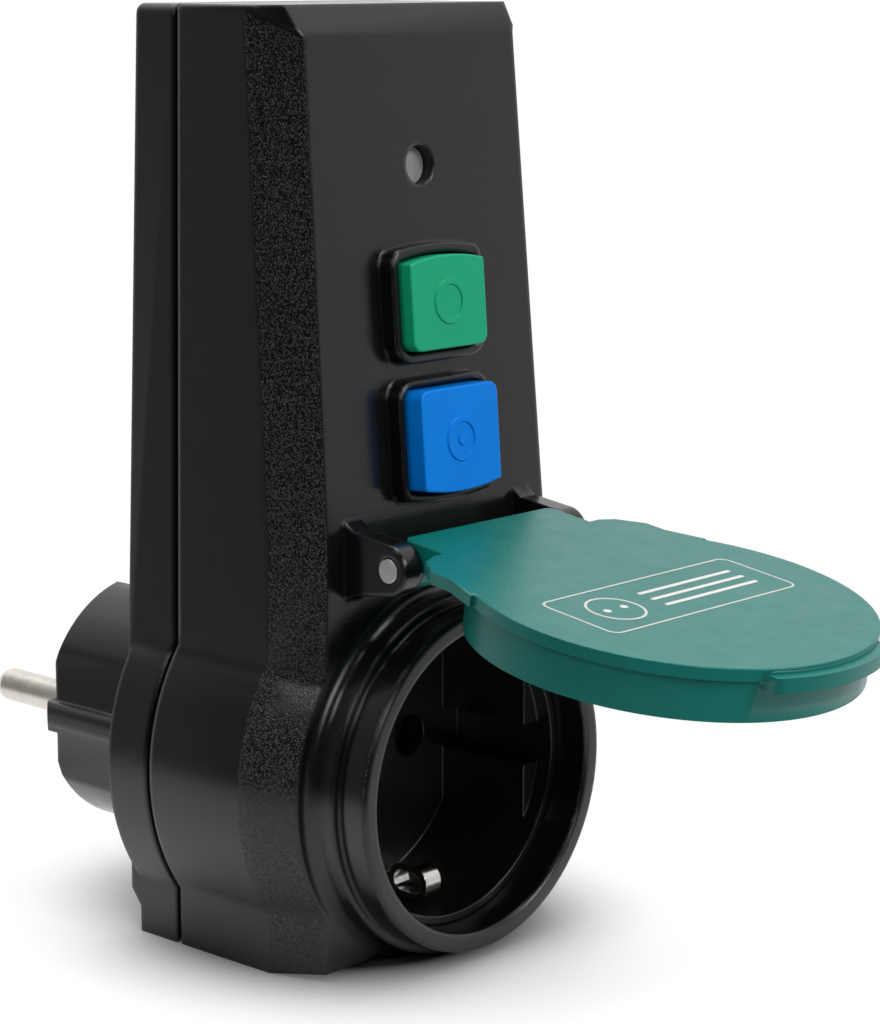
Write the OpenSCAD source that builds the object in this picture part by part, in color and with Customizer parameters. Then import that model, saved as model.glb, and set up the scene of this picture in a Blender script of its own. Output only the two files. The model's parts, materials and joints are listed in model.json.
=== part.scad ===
// Residual-current adapter plug with a flip lid over its socket.
// The plug axis is the Y axis, the plug face is at Y = 0, the pins point along +Y and the socket faces -Y.
// Depths are measured from the plug face towards the socket side.

/* [Body] */
// Height of the top above the plug axis
body_top = 101.6; // [99:0.2:108]
// Width of the tower at its top
tower_top_w = 44; // [42:0.5:46]
// Width of the tower where it meets the drum
tower_low_w = 47.6; // [46:0.2:50]
// Radius of the drum round the socket
drum_r = 29.4; // [28.8:0.1:31]
// Width of the foot
foot_w = 48.4; // [46:0.2:52]
// Drop from the plug axis to the sole of the foot
foot_drop = 24.6; // [24:0.1:27]
// Thickness of the shell walls
wall = 2.2; // [1.8:0.1:2.6]

/* [Depths] */
// Plug face to rear wall
rear_d = 24.8; // [22:0.2:26]
// How far the rear wall leans in at its top
rear_lean = 2; // [0.5:0.1:3]
// Rear wall to the front face, below the lean
body_d = 36.2; // [35:0.1:38]
// Rear wall to the parting plane of the two shells
rear_shell_d = 10.3; // [9.6:0.1:11.4]
// Width of the parting gap
part_gap = 0.9; // [0.6:0.1:1.2]
// Depth over which the sides taper
taper_d = 8.3; // [7:0.1:10]
// How far the taper draws the sides in
taper_w = 2.3; // [1.5:0.1:3.5]
// Height above the plug axis where the front starts to lean back
lean_z = 34; // [33:0.5:37]
// Lean of the front face
lean = 4.25; // [3:0.25:5.5]
// Height of the brow that slopes back above the front face
brow_h = 4; // [2:0.1:5]
// How far the brow leans back
brow_d = 2.3; // [1:0.1:4]
// Chamfer on the rear edges
rear_chamfer = 0.8; // [0.5:0.1:1.6]
// Chamfer on the drum's rear edge
drum_chamfer = 2.4; // [1:0.1:3]
// Height above the sole where the heel starts to slant forward
heel_top = 6.9; // [6:0.1:7]
// Height above the sole where the heel stands upright again
heel_low = 3.6; // [2:0.1:4.5]
// How far the heel is set forward
heel_set = 2.6; // [1:0.1:3]

/* [Plug] */
// Radius of the plug body
plug_r = 18.2; // [18:0.1:18.6]
// Half distance between the plug's flats
plug_flat = 15.7; // [15:0.1:16.2]
// Height of the rib on each flat
plug_rib_h = 4.2; // [3.5:0.1:5]
// Chamfer round the plug's face
plug_edge = 1; // [0.4:0.1:1.4]
// Thickness of the plug's end wall
plug_end = 5; // [4:0.5:7]
// Diameter of the pins
pin_d = 4.8; // [4:0.1:4.8]
// Distance between the pins
pin_spacing = 19; // [18:0.5:20]
// Length of the pins beyond the plug face
pin_len = 19; // [17:0.5:21]
// Width of the plug's earth contacts
earth_w = 8; // [6:0.5:9]
// Thickness of the sheet metal
sheet = 0.9; // [0.6:0.1:1.1]
// Height of the earth contacts' seat above the plug axis
earth_z = 15; // [14.4:0.1:15.4]

/* [Socket] */
// Wall of the lip
lip_t = 2.6; // [2.2:0.1:2.8]
// Height of the lip above the collar's shoulder
lip_h = 4.6; // [4.2:0.1:4.8]
// Width of the collar's shoulder
shoulder_w = 1.2; // [0.8:0.1:1.4]
// Height of the shoulder above the front face
collar_h = 4; // [3:0.1:4.6]
// Radius of the recess
recess_r = 19.6; // [19.4:0.1:19.8]
// How far the recess rim lies behind the lip's front
rim_back = 5.4; // [4.6:0.1:6]
// Depth of the recess
recess_h = 17.6; // [17:0.1:18.5]
// Thickness of the recess floor
floor_t = 3; // [2:0.1:3.5]
// Wall of the insert round the recess
insert_t = 1.1; // [0.8:0.1:1.4]
// Width of the flat on each side of the recess
flat_w = 3.1; // [2.6:0.1:3.4]
// How far behind the rim the flats start
flat_back = 2.4; // [1:0.1:4]
// Height of the notch in each flat
notch_h = 5.8; // [5.4:0.1:6.5]
// Diameter of the pin holes
hole_d = 5.8; // [5.4:0.1:6.2]
// Width of the socket's earth clip
clip_w = 3; // [2:0.1:4]

/* [Lid] */
// Height of the hinge above the lip
hinge_up = 7.7; // [7.4:0.1:8.4]
// How far the hinge lies behind the lip's front
hinge_back = 0.8; // [0.6:0.1:1.2]
// Angle by which the lid stands open
lid_open = 81.3; // [60:0.1:95]
// How far the lid's plate stands over its skirt
lid_over = 0.7; // [0.3:0.1:1]
// Thickness of the lid's plate
lid_t = 1.6; // [1.2:0.1:1.6]
// Wall of the lid's skirt
skirt_t = 1.6; // [1.2:0.1:1.8]
// Thickness of the lid's gasket
gasket_t = 0.9; // [0.6:0.1:1.2]
// Width of the thumb tab
tab_w = 23; // [16:0.5:30]
// How far the thumb tab stands out
tab_l = 1.5; // [1:0.1:3]
// Outer distance over the hinge ears
ear_span = 36; // [34:0.2:37]
// Thickness of a hinge ear
ear_t = 3.2; // [2.6:0.1:3.6]
// Radius of an ear's nose
ear_r = 3.4; // [3.2:0.1:3.8]
// How far the nose's centre lies behind the hinge pin
ear_set = 0.5; // [0:0.1:0.8]
// Diameter of the hinge pin
hinge_pin_d = 3.1; // [2.6:0.1:3.4]

/* [Buttons] */
// Width of the reset button
reset_w = 14.2; // [12:0.2:14.8]
// Width of the test button
test_w = 14.8; // [12:0.2:15]
// Straight height of the reset button
reset_h = 11.4; // [10:0.2:12]
// Straight height of the test button
test_h = 13; // [10:0.2:13.4]
// Rise of a button's arched end
arch_h = 0.8; // [0.4:0.1:1.2]
// Rounding of a button's corners
button_corner = 1.4; // [0.8:0.1:2]
// Height of the reset button's lower edge along the front face
reset_v = 23.1; // [22.8:0.1:23.6]
// Height of the test button's upper edge along the front face
test_v = 18.1; // [17.4:0.1:18.4]
// How far the reset button stands out of its frame
reset_proud = 1.7; // [1.6:0.1:3]
// How far the test button stands out of its frame
test_proud = 2.6; // [1.6:0.1:3.4]
// Height of the frames above the front face
frame_h = 2.4; // [1.5:0.1:3]
// Width over a frame
frame_w = 17.4; // [17:0.1:18.4]
// Travel of the buttons
travel = 1.5; // [0.8:0.1:2]
// Diameter of the indicator hole
lens_d = 5.2; // [4:0.1:6]
// Height of the indicator along the front face
lens_v = 47; // [45:0.5:48]
// How far the indicator's lens lies behind the front face
lens_back = 1.7; // [1:0.1:2]

/* [Inside] */
// Front of the circuit board behind the front face
board_back = 16; // [15:0.2:17]
// Thickness of the circuit board
board_t = 1.6; // [1.2:0.1:2]
// Width of the circuit board
board_w = 35; // [32:0.5:35]
// Width of the relay
relay_w = 20; // [16:0.5:22]
// Depth of the relay
relay_d = 9; // [7:0.2:9.6]
// Height of the relay
relay_h = 24; // [18:0.5:25]
// Side of a switch body
switch_w = 8; // [7.6:0.1:9]
// Height of a switch body
switch_h = 4; // [3.4:0.1:5]
// Radius of the transformer's hole
ct_hole = 3.6; // [3.3:0.1:4]
// Height of the transformer
ct_h = 7; // [5:0.1:7.4]
// Width of the bars through the transformer
bar_w = 2; // [1.6:0.1:2.2]
// Turns of a button spring
spring_turns = 5; // [3:1:6]
// Wire diameter of a button spring
spring_wire = 0.5; // [0.4:0.05:0.6]

/* [Fits] */
// Clearance round the buttons
button_gap = 0.3; // [0.25:0.05:0.4]
// Clearance between pieces that stay put
seat_gap = 0.1; // [0.05:0.05:0.15]
// Radial clearance of the hinge pin and the plungers
run_gap = 0.06; // [0.03:0.01:0.09]
// Clearance between the lid and what it passes
lid_gap = 0.3; // [0.25:0.05:0.4]

/* [Hidden] */
$fn = 96;
big = 200;
tower_top_half = tower_top_w / 2;
tower_low_half = tower_low_w / 2;
tower_low_z = sqrt(drum_r * drum_r - tower_low_half * tower_low_half);
side_slope = (tower_low_half - tower_top_half) / (body_top - tower_low_z);
foot_half = foot_w / 2;
face_d = rear_d + body_d;
part_d = rear_d + rear_shell_d;
edge_d = face_d - taper_d;
drum_edge_d = edge_d - 0.3;
bore_r = recess_r + insert_t + seat_gap;
lip_r = bore_r + lip_t;
collar_r = lip_r + shoulder_w;
shoulder_d = face_d + collar_h;
lip_d = shoulder_d + lip_h;
rim_d = lip_d - rim_back;
recess_flat = recess_r - flat_w;
hinge_z = lip_r + hinge_up;
hinge_d = lip_d - hinge_back;
rear_end_d = part_d - part_gap / 2;
front_start_d = part_d + part_gap / 2;
rear_in_d = rear_d + wall;
floor_d = rim_d - recess_h;
floor_back_d = floor_d - floor_t;
chamber_h = 7;
chamber_d = floor_back_d - chamber_h;
sleeve_front_d = floor_back_d - 3;
pin_x = pin_spacing / 2;
pin_r = pin_d / 2;
neck_r = pin_r - 0.2;
hole_r = hole_d / 2;
sleeve_in_r = pin_r + 0.15;
sleeve_r = sleeve_in_r + sheet;
chamber_r = sleeve_r + seat_gap + 1;
insert_r = bore_r - seat_gap;
flange_r = bore_r + 1.8;
skirt_in_r = lip_r + lid_gap;
skirt_r = skirt_in_r + skirt_t;
lid_r = skirt_r + lid_over;
closed_gap = 0.2;
lid_under = hinge_back + closed_gap + gasket_t;
lid_rise = lid_under + lid_t;
skirt_edge = shoulder_d + lid_gap - hinge_d;
relief_r = hinge_z - sqrt(pow(hinge_z - lip_r - lid_gap, 2) - pow(skirt_edge, 2));
ear_in = ear_span / 2 - ear_t;
hinge_r = hinge_pin_d / 2;
knuckle_r = hinge_r + run_gap + 1.2;
board_front_n = -board_back;
board_rear_n = -board_back - board_t;
board_v = -0.5;
switch_top_n = board_front_n + switch_h;
seal_t = 0.8;
seal_back_n = -wall - seal_t;
flange_t = 1.3;
flange_out = 1;
flange_front_n = seal_back_n - seat_gap;
flange_back_n = flange_front_n - flange_t;
stem_r = 1.8;
plunger_r = 1.7;
plunger_top_n = switch_top_n + travel + 1;
reset_mid_v = reset_v + reset_h / 2;
test_mid_v = test_v - test_h / 2;
screw_top = [tower_top_half - wall - 4, body_top - wall - 6];
screw_low = [foot_half - wall - 3, -(foot_drop - wall - 3)];
screw_r = 1.45;
boss_r = 3.6;
board_top_v = (screw_top[1] - boss_r - 1.6 - lean_z) / cos(lean);
board_h = board_top_v - board_v;
screw_head_r = 2.7;
screw_head_h = 2.2;
screw_head_d = rear_d + rear_lean + 2.9;
post_r = 2.4;
post_x = board_w / 2 - 3.2;
board_screw_r = 2;
post_at = [for (x = [-1, 1], v = [5, board_h - 5.5]) [x * post_x, board_v + v]];
ct_z = lean_z + 1 + ct_h / 2;
ct_top_z = ct_z + ct_h / 2;
ct_r = (board_rear_d(ct_top_z) - rear_in_at(ct_top_z) - seat_gap - 0.4) / 2;
ct_y = -(board_rear_d(ct_top_z) - ct_r - seat_gap);
lead_z = ct_top_z + 2;
relay_v = (lead_z + bar_w / 2 + 0.5 - lean_z + (board_back + board_t + relay_d) * sin(lean)) / cos(lean);
strip_d = rear_in_d + 2.6;
strap_d = rear_in_d + 1.6;
heel_top_z = heel_top - foot_drop;
heel_low_z = heel_low - foot_drop;
rear_floor_z = heel_top_z + 1.2;
sole_in_z = -(foot_drop - wall - taper_w / 2);

// Half width of the tower at a height
function tower_half(z) = tower_low_half - side_slope * (z - tower_low_z);

// Depth of the front face at a height
function face_at(z) = face_d - max(0, z - lean_z) * tan(lean);

// Depth of the rear wall's inner face at a height
function rear_in_at(z) = rear_in_d + rear_lean * max(0, z - tower_low_z) / (body_top - tower_low_z);

// Depth of the board's rear face at a height
function board_rear_d(z) = face_at(z) - (board_back + board_t) / cos(lean);

// Unit vector
function unit(v) = v / norm(v);

// Turns a shape drawn in the XY plane so that it stands in XZ and is extruded from one depth to a larger one
module slab(from_d, to_d) {
  translate([0, -from_d, 0]) rotate([90, 0, 0]) linear_extrude(to_d - from_d) children();
}

// A cylinder along Y between two depths
module rod(r, from_d, to_d, at = [0, 0]) {
  translate([at[0], -from_d, at[1]]) rotate([90, 0, 0]) cylinder(r = r, h = to_d - from_d);
}

// A turned shape about the Y axis: points are radius and depth
module turned(points) {
  rotate([90, 0, 0]) rotate_extrude() polygon(points);
}

// Places a shape on the leaning front face: X across, Y up along the face, Z outwards
module on_face() {
  translate([0, -face_d, lean_z]) rotate([90 - lean, 0, 0]) children();
}

// Everything beyond a plane through three points, on the side away from the plug axis, drawn in by an inset
module beyond(a, b, c, inset) {
  raw = unit(cross(b - a, c - a));
  n = raw * (a - [0, -face_d / 2, a[2] / 2]) > 0 ? raw : -raw;
  translate(a - n * inset) rotate([0, acos(n[2]), atan2(n[1], n[0])])
    translate([-big / 2, -big / 2, 0]) cube(big);
}

// Tapered front of one straight stretch of the body, between two heights
module tapered(z0, z1, half0, half1, inset, top, from_d) {
  drop0 = face_d - face_at(z0);
  drop1 = face_d - face_at(z1);
  difference() {
    slab(from_d, face_d + 1)
      polygon([[-half0 + inset, z0], [half0 - inset, z0], [half1 - inset, z1], [-half1 + inset, z1]]);
    beyond([0, -face_d + drop0, z0], [1, -face_d + drop0, z0], [0, -face_d + drop1, z1], inset);
    for (s = [-1, 1])
      beyond([s * half0, -edge_d + drop0, z0], [s * half1, -edge_d + drop1, z1],
             [s * (half0 - taper_w), -face_d + drop0, z0], inset);
    if (top == "top") {
      beyond([0, brow_d - face_at(z1), z1], [1, brow_d - face_at(z1), z1],
             [0, -face_at(z1 - brow_h), z1 - brow_h], inset);
      translate([-big / 2, -big, z1 - inset]) cube(big);
    }
    if (top == "sole") {
      beyond([0, -edge_d, z0], [1, -edge_d, z0], [0, -face_d, z0 + taper_w / 2], inset);
      translate([-big / 2, -big, z0 + inset - big]) cube(big);
    }
  }
}

// The outline of the whole body, as seen from the front
module outline(inset) {
  polygon([[-tower_half(0) + inset, 0], [tower_half(0) - inset, 0],
           [tower_top_half - inset, body_top - inset], [-tower_top_half + inset, body_top - inset]]);
  intersection() {
    circle(r = drum_r - inset);
    translate([-big / 2, -foot_drop + inset]) square(big);
  }
  translate([-foot_half + inset, -foot_drop + inset]) square([foot_w - 2 * inset, foot_drop - inset]);
}

// The front part of the body as a solid, drawn in by an inset
module front_solid(inset, from_d) {
  tapered(lean_z, body_top, tower_half(lean_z), tower_top_half, inset, "top", from_d);
  tapered(0, lean_z, tower_half(0), tower_half(lean_z), inset, "none", from_d);
  tapered(-foot_drop, 0, foot_half, foot_half, inset, "sole", from_d);
  cone_in = inset * taper_w / (face_d - edge_d);
  difference() {
    turned([[0, from_d], [drum_r - inset, from_d], [drum_r - inset, drum_edge_d - cone_in],
            [drum_r - taper_w - inset, face_d - inset], [0, face_d - inset]]);
    translate([-big / 2, -big, inset - foot_drop - big]) cube(big);
    beyond([0, -edge_d, -foot_drop], [1, -edge_d, -foot_drop], [0, -face_d, taper_w / 2 - foot_drop], inset);
  }
}

// A rectangle with rounded corners, from the origin
module rounded(w, h, r) {
  translate([r, 0]) square([w - 2 * r, h]);
  translate([0, r]) square([w, h - 2 * r]);
  for (x = [r, w - r], y = [r, h - r]) translate([x, y]) circle(r = r, $fn = 48);
}

// A closed shape with one arched end, for the buttons and their frames
module arched(w, h, grow, up) {
  half = w / 2 + grow;
  arc_r = (half * half + arch_h * arch_h) / (2 * arch_h);
  mirror([0, up ? 0 : 1]) intersection() {
    translate([-half, -h / 2 - grow]) rounded(2 * half, h + arch_h + 2 * grow, button_corner + grow);
    translate([0, h / 2 + grow + arch_h - arc_r]) circle(r = arc_r, $fn = 180);
  }
}

// Places children at the four case screws
module at_screws() {
  for (s = [-1, 1]) {
    translate([s * screw_top[0], 0, screw_top[1]]) children();
    translate([s * screw_low[0], 0, screw_low[1]]) children();
  }
}

// Cuts away what lies beyond a plane on the wall side of the body
module rear_cut(a, b, c) {
  raw = unit(cross(b - a, c - a));
  n = raw[1] > 0 ? raw : -raw;
  translate(a) rotate([0, acos(n[2]), atan2(n[1], n[0])]) translate([-big / 2, -big / 2, 0]) cube(big);
}

// What the heel's slant leaves out under the rear shell
module heel_cut() {
  run_in = (heel_top_z - heel_low_z) / heel_set;
  set_y = -rear_d - heel_set;
  translate([-big / 2, 0, 0]) rotate([90, 0, 90]) linear_extrude(big)
    polygon([[1 - rear_d, heel_top_z + run_in], [set_y, heel_low_z], [set_y, -foot_drop - 1],
             [1 - rear_d, -foot_drop - 1]]);
}

// Cuts away what lies behind the tower's leaning rear wall, at a depth inside it
module lean_cut(inside) {
  rear_cut([0, -rear_d - inside, tower_low_z], [1, -rear_d - inside, tower_low_z],
           [0, -rear_d - rear_lean - inside, body_top]);
}

// The rear part of the body as a solid, with its chamfered edges
module rear_solid() {
  c = rear_chamfer;
  top_d = rear_d + rear_lean;
  difference() {
    slab(rear_d, rear_end_d)
      polygon([[-tower_half(0), 0], [tower_half(0), 0], [tower_top_half, body_top],
               [-tower_top_half, body_top]]);
    lean_cut(0);
    for (s = [-1, 1])
      rear_cut([s * (tower_top_half - c), -top_d, body_top], [s * (tower_low_half - c), -rear_d, tower_low_z],
               [s * tower_top_half, -top_d - c, body_top]);
    rear_cut([0, -top_d, body_top - c], [1, -top_d, body_top - c], [0, -top_d - c, body_top]);
  }
  difference() {
    turned([[0, rear_d], [drum_r - drum_chamfer, rear_d], [drum_r, rear_d + drum_chamfer],
            [drum_r, rear_end_d], [0, rear_end_d]]);
    translate([-big / 2, -big, -foot_drop - big]) cube([big, 2 * big, big]);
    heel_cut();
  }
  difference() {
    slab(rear_d, rear_end_d) translate([-foot_half, -foot_drop]) square([foot_w, foot_drop]);
    for (s = [-1, 1])
      rear_cut([s * (foot_half - c), -rear_d, 0], [s * (foot_half - c), -rear_d, -foot_drop],
               [s * foot_half, -rear_d - c, 0]);
    heel_cut();
  }
}

module rear_housing() color([0.09, 0.09, 0.1]) {
  difference() {
    union() {
      difference() {
        rear_solid();
        difference() {
          slab(rear_in_d, rear_end_d + 1) intersection() {
            outline(wall);
            translate([-big / 2, rear_floor_z]) square(big);
          }
          lean_cut(wall);
        }
      }
      plug_body();
      at_screws() rod(boss_r, rear_in_d - 0.5, rear_end_d);
    }
    at_screws() {
      rod(screw_head_r + seat_gap, rear_d - 1, screw_head_d);
      rod(screw_r + seat_gap, rear_d, rear_end_d + 1);
    }
    plug_hollow();
  }
}

// The round plug body with its flats and ribs
module plug_body() {
  difference() {
    turned([[0, 0], [plug_r - plug_edge, 0], [plug_r, plug_edge], [plug_r, rear_in_d], [0, rear_in_d]]);
    slab(-1, rear_in_d + 1) for (s = [-1, 1], t = [-1, 1])
      translate([s * (plug_flat + plug_r) - plug_r, t * (plug_rib_h / 2 + plug_r) - plug_r])
        square(2 * plug_r);
    for (s = [-1, 1]) {
      translate([-earth_w / 2 - 0.3, -rear_d + 5, s > 0 ? earth_z - seat_gap : -earth_z + seat_gap - 10])
        cube([earth_w + 0.6, rear_d, 10]);
      translate([-earth_w / 2 - 0.3, -rear_d - wall - 1,
                 s > 0 ? earth_z - seat_gap : -earth_z - sheet - seat_gap])
        cube([earth_w + 0.6, rear_d, sheet + 2 * seat_gap]);
    }
  }
}

// The space inside the plug body, and the bores for its pins
module plug_hollow() {
  in_x = plug_flat - wall;
  in_z = earth_z - wall;
  slab(plug_end, rear_in_d + 1) intersection() {
    square([2 * in_x, 2 * in_z], center = true);
    circle(r = plug_r - wall);
  }
  for (s = [-1, 1]) rod(neck_r + seat_gap / 2, -1, plug_end + 1, [s * pin_x, 0]);
  for (s = [-1, 1])
    translate([-earth_w / 2 - 0.3, -rear_in_d - 1, s > 0 ? earth_z - seat_gap : -earth_z - sheet - seat_gap])
      cube([earth_w + 0.6, wall + 2, sheet + 2 * seat_gap]);
}

module front_housing() color([0.1, 0.1, 0.11]) {
  difference() {
    union() {
      difference() {
        front_solid(0, front_start_d);
        front_solid(wall, front_start_d - 1);
      }
      collar();
      at_screws() rod(boss_r, front_start_d, edge_d - 4);
      intersection() {
        at_screws() rod(boss_r, front_start_d, face_d);
        front_solid(wall / 2, front_start_d);
      }
      on_face() {
        button_frame(reset_w, reset_h, reset_mid_v, true);
        button_frame(test_w, test_h, test_mid_v, false);
        for (p = post_at)
          translate([p[0], p[1], board_front_n]) cylinder(r = post_r, h = board_back - wall / 2);
      }
      for (s = [-1, 1]) hinge_ear(s);
    }
    at_screws() rod(screw_r + 0.05, front_start_d - 1, edge_d - 5);
    rod(bore_r, face_d - wall - 1, lip_d + 1);
    on_face() {
      button_hole(reset_w, reset_h, reset_mid_v, true);
      button_hole(test_w, test_h, test_mid_v, false);
      translate([0, lens_v, -wall - 1]) cylinder(d = lens_d, h = wall + 2);
      for (p = post_at) translate([p[0], p[1], board_front_n - 1]) cylinder(r = 0.85, h = 8);
    }
    translate([-ear_span, -hinge_d, hinge_z]) rotate([0, 90, 0])
      cylinder(r = hinge_r + run_gap, h = 2 * ear_span);
  }
}

// Collar round the socket, with its flared root, shoulder and lip, cut level with the sole
module collar() {
  difference() {
    turned([[bore_r - 2, face_d - wall], [collar_r + 1.6, face_d - wall], [collar_r + 1.6, face_d],
            [collar_r + 0.5, face_d + 0.5], [collar_r, face_d + 1.6], [collar_r, shoulder_d],
            [lip_r, shoulder_d], [lip_r, lip_d], [bore_r - 2, lip_d]]);
    translate([-big / 2, -big, -foot_drop - big]) cube([big, 2 * big, big]);
  }
}

// Raised frame round a button
module button_frame(w, h, v, up) {
  translate([0, v, -wall / 2]) linear_extrude(frame_h + wall / 2) arched(w, h, (frame_w - w) / 2, up);
}

// Opening for a button through its frame and the wall
module button_hole(w, h, v, up) {
  translate([0, v, -wall - 2]) linear_extrude(frame_h + wall + 4) arched(w, h, button_gap, up);
}

// One of the two ears that hold the hinge pin
module hinge_ear(s) {
  root_top = hinge_z + 6;
  root_low = hinge_z - 5.6;
  x0 = s > 0 ? ear_in : -ear_span / 2;
  nose_d = hinge_d - ear_set;
  translate([x0, 0, 0]) rotate([90, 0, 90]) linear_extrude(ear_t) {
    polygon([[-face_d + wall / 2, root_low], [-face_d + wall / 2, root_top], [-face_d - 1.4, hinge_z + 4.2],
             [-nose_d, hinge_z + ear_r], [-nose_d, hinge_z - ear_r], [-face_d - 1.8, hinge_z - 4.2]]);
    translate([-nose_d, hinge_z]) circle(r = ear_r);
  }
}

module housing_seal() color([0.03, 0.03, 0.03]) {
  slab(rear_end_d, front_start_d) difference() {
    outline(0.7);
    outline(wall - 0.1);
    for (s = [-1, 1]) {
      translate([s * screw_top[0], screw_top[1]]) circle(r = boss_r + 0.3);
      translate([s * screw_low[0], screw_low[1]]) circle(r = boss_r + 0.3);
    }
  }
}

module housing_screws() color([0.7, 0.7, 0.72]) {
  at_screws() difference() {
    union() {
      rod(screw_head_r, screw_head_d - screw_head_h, screw_head_d);
      rod(screw_r, screw_head_d - 0.5, edge_d - 6);
    }
    translate([-1.9, -screw_head_d + screw_head_h - 1, -0.4]) cube([3.8, 2, 0.8]);
    translate([-0.4, -screw_head_d + screw_head_h - 1, -1.9]) cube([0.8, 2, 3.8]);
  }
}

// One plug pin with a rounded tip, a neck in the end wall and a shoulder behind it
module plug_pin(s) color([0.78, 0.76, 0.72]) {
  translate([s * pin_x, 0, 0]) rotate([90, 0, 0]) rotate_extrude()
    polygon([[0, -pin_len], [pin_r - 1.4, -pin_len], [pin_r - 0.5, -pin_len + 0.5], [pin_r, -pin_len + 1.6],
             [pin_r, 0], [neck_r, 0], [neck_r, plug_end], [pin_r + 0.9, plug_end],
             [pin_r + 0.9, plug_end + 1.5], [neck_r, plug_end + 1.5], [neck_r, strip_d], [0, strip_d]]);
}

module live_pin() plug_pin(-1);
module neutral_pin() plug_pin(1);

// A sprung earth strip on the plug body
module plug_earth(s) color([0.8, 0.8, 0.8]) {
  low = earth_z;
  high = earth_z + sheet;
  crown = earth_z + 2.2;
  mirror([0, 0, s > 0 ? 0 : 1]) translate([-earth_w / 2, 0, 0]) rotate([90, 0, 90]) linear_extrude(earth_w)
    polygon([[-strap_d, low], [-2, low], [-2, high], [-8, crown], [-12, crown], [-16, high],
             [-strap_d, high]]);
}

module upper_plug_earth_contact() plug_earth(1);
module lower_plug_earth_contact() plug_earth(-1);

module earth_strap() color([0.75, 0.62, 0.35]) {
  half = earth_z + sheet + 0.4;
  translate([-2.5, -strap_d - sheet, -half]) cube([5, sheet, 2 * half]);
  rod(1.6, strap_d + sheet / 2, floor_back_d - sheet - seat_gap, [0, -6]);
}

module socket_insert() color([0.07, 0.07, 0.08]) {
  clip_gap = 0.3;
  slot_z = clip_arm_z() - clip_gap;
  slot_h = sheet + 2 * clip_gap;
  difference() {
    union() {
      turned([[0, floor_back_d], [insert_r, floor_back_d], [insert_r, rim_d], [0, rim_d]]);
      difference() {
        rod(flange_r, face_d - wall - 2, face_d - wall);
        translate([-big / 2, -big, sole_in_z + 0.3 - big]) cube([big, 2 * big, big]);
      }
      for (s = [-1, 1]) rod(chamber_r, chamber_d, floor_d - 1, [s * pin_x, 0]);
    }
    difference() {
      rod(recess_r, floor_d, rim_d + 1);
      for (s = [-1, 1], t = [-1, 1])
        translate([s > 0 ? recess_flat : -recess_flat - 10, -rim_d + flat_back,
                   t > 0 ? notch_h / 2 : -notch_h / 2 - 20])
          cube([10, recess_h, 20]);
    }
    for (s = [-1, 1]) {
      rod(hole_r, floor_back_d - 1, floor_d + 1, [s * pin_x, 0]);
      rod(sleeve_r + seat_gap, chamber_d - 1, floor_back_d, [s * pin_x, 0]);
      translate([-clip_w / 2 - clip_gap, -floor_d - 1, s > 0 ? slot_z : -slot_z - slot_h])
        cube([clip_w + 2 * clip_gap, floor_t + 3, slot_h]);
    }
  }
}

// Height of the earth clip's arms above the plug axis
function clip_arm_z() = recess_r - sheet - 0.6;

module socket_earth_bow() color([0.82, 0.82, 0.83]) {
  base_d = floor_back_d - sheet;
  nose_d = rim_d - 6.6;
  loop_r = 2.4;
  loop_l = 2.2;
  translate([-clip_w / 2, 0, 0]) rotate([90, 0, 90]) linear_extrude(clip_w) {
    translate([-floor_back_d + seat_gap, -clip_arm_z() - sheet])
      square([sheet - seat_gap, 2 * (clip_arm_z() + sheet)]);
    for (s = [0, 1]) mirror([0, s]) {
      translate([-nose_d + 1, clip_arm_z()]) square([nose_d - 1 - base_d, sheet]);
      translate([-nose_d, clip_arm_z() + sheet - loop_r]) difference() {
        loop(loop_r, loop_l);
        loop(loop_r - sheet, loop_l);
      }
    }
  }
}

// A stadium shape along the depth
module loop(r, l) {
  circle(r = r);
  translate([l, 0]) circle(r = r);
  translate([0, -r]) square([l, 2 * r]);
}

// A split sleeve that grips a plug pin
module socket_contact(s) color([0.8, 0.66, 0.36]) {
  translate([s * pin_x, 0, 0]) difference() {
    union() {
      rod(sleeve_r, -ct_y - bar_w / 2, sleeve_front_d);
      translate([-sleeve_r, -chamber_d + 0.1, 0])
        cube([2 * sleeve_r, chamber_d + ct_y + bar_w / 2, sleeve_r]);
    }
    rod(sleeve_in_r, -ct_y - bar_w / 2 + 1.5, sleeve_front_d + 1);
    translate([-0.35, -sleeve_front_d - 1, -sleeve_r - 1])
      cube([0.7, sleeve_front_d - chamber_d + 1, sleeve_r + 1]);
  }
}

module live_socket_contact() socket_contact(-1);
module neutral_socket_contact() socket_contact(1);

module circuit_board() color([0.1, 0.35, 0.2]) {
  on_face() difference() {
    translate([-board_w / 2, board_v, board_rear_n]) cube([board_w, board_h, board_t]);
    for (p = post_at) translate([p[0], p[1], board_rear_n - 1]) cylinder(r = 1.2, h = board_t + 2);
  }
}

module board_screws() color([0.75, 0.75, 0.76]) {
  on_face() for (p = post_at) translate([p[0], p[1], 0]) {
    translate([0, 0, board_rear_n - 1.4]) cylinder(r = board_screw_r, h = 1.4);
    translate([0, 0, board_rear_n - 0.5]) cylinder(r = 0.8, h = board_t + 6);
  }
}

// A switch body with a bore for its plunger
module switch_body(v) color([0.15, 0.15, 0.15]) {
  on_face() translate([0, v, board_front_n]) difference() {
    translate([-switch_w / 2, -switch_w / 2, 0]) cube([switch_w, switch_w, switch_h]);
    translate([0, 0, 0.6]) cylinder(r = plunger_r + run_gap, h = switch_h);
  }
}

module reset_switch() switch_body(reset_mid_v);
module test_switch() switch_body(test_mid_v);

// A switch plunger that moves with its button
module plunger(v) color([0.85, 0.85, 0.82]) {
  on_face() translate([0, v, switch_top_n - 1]) cylinder(r = plunger_r, h = plunger_top_n - switch_top_n + 1);
}

module reset_plunger() plunger(reset_mid_v);
module test_plunger() plunger(test_mid_v);

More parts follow.
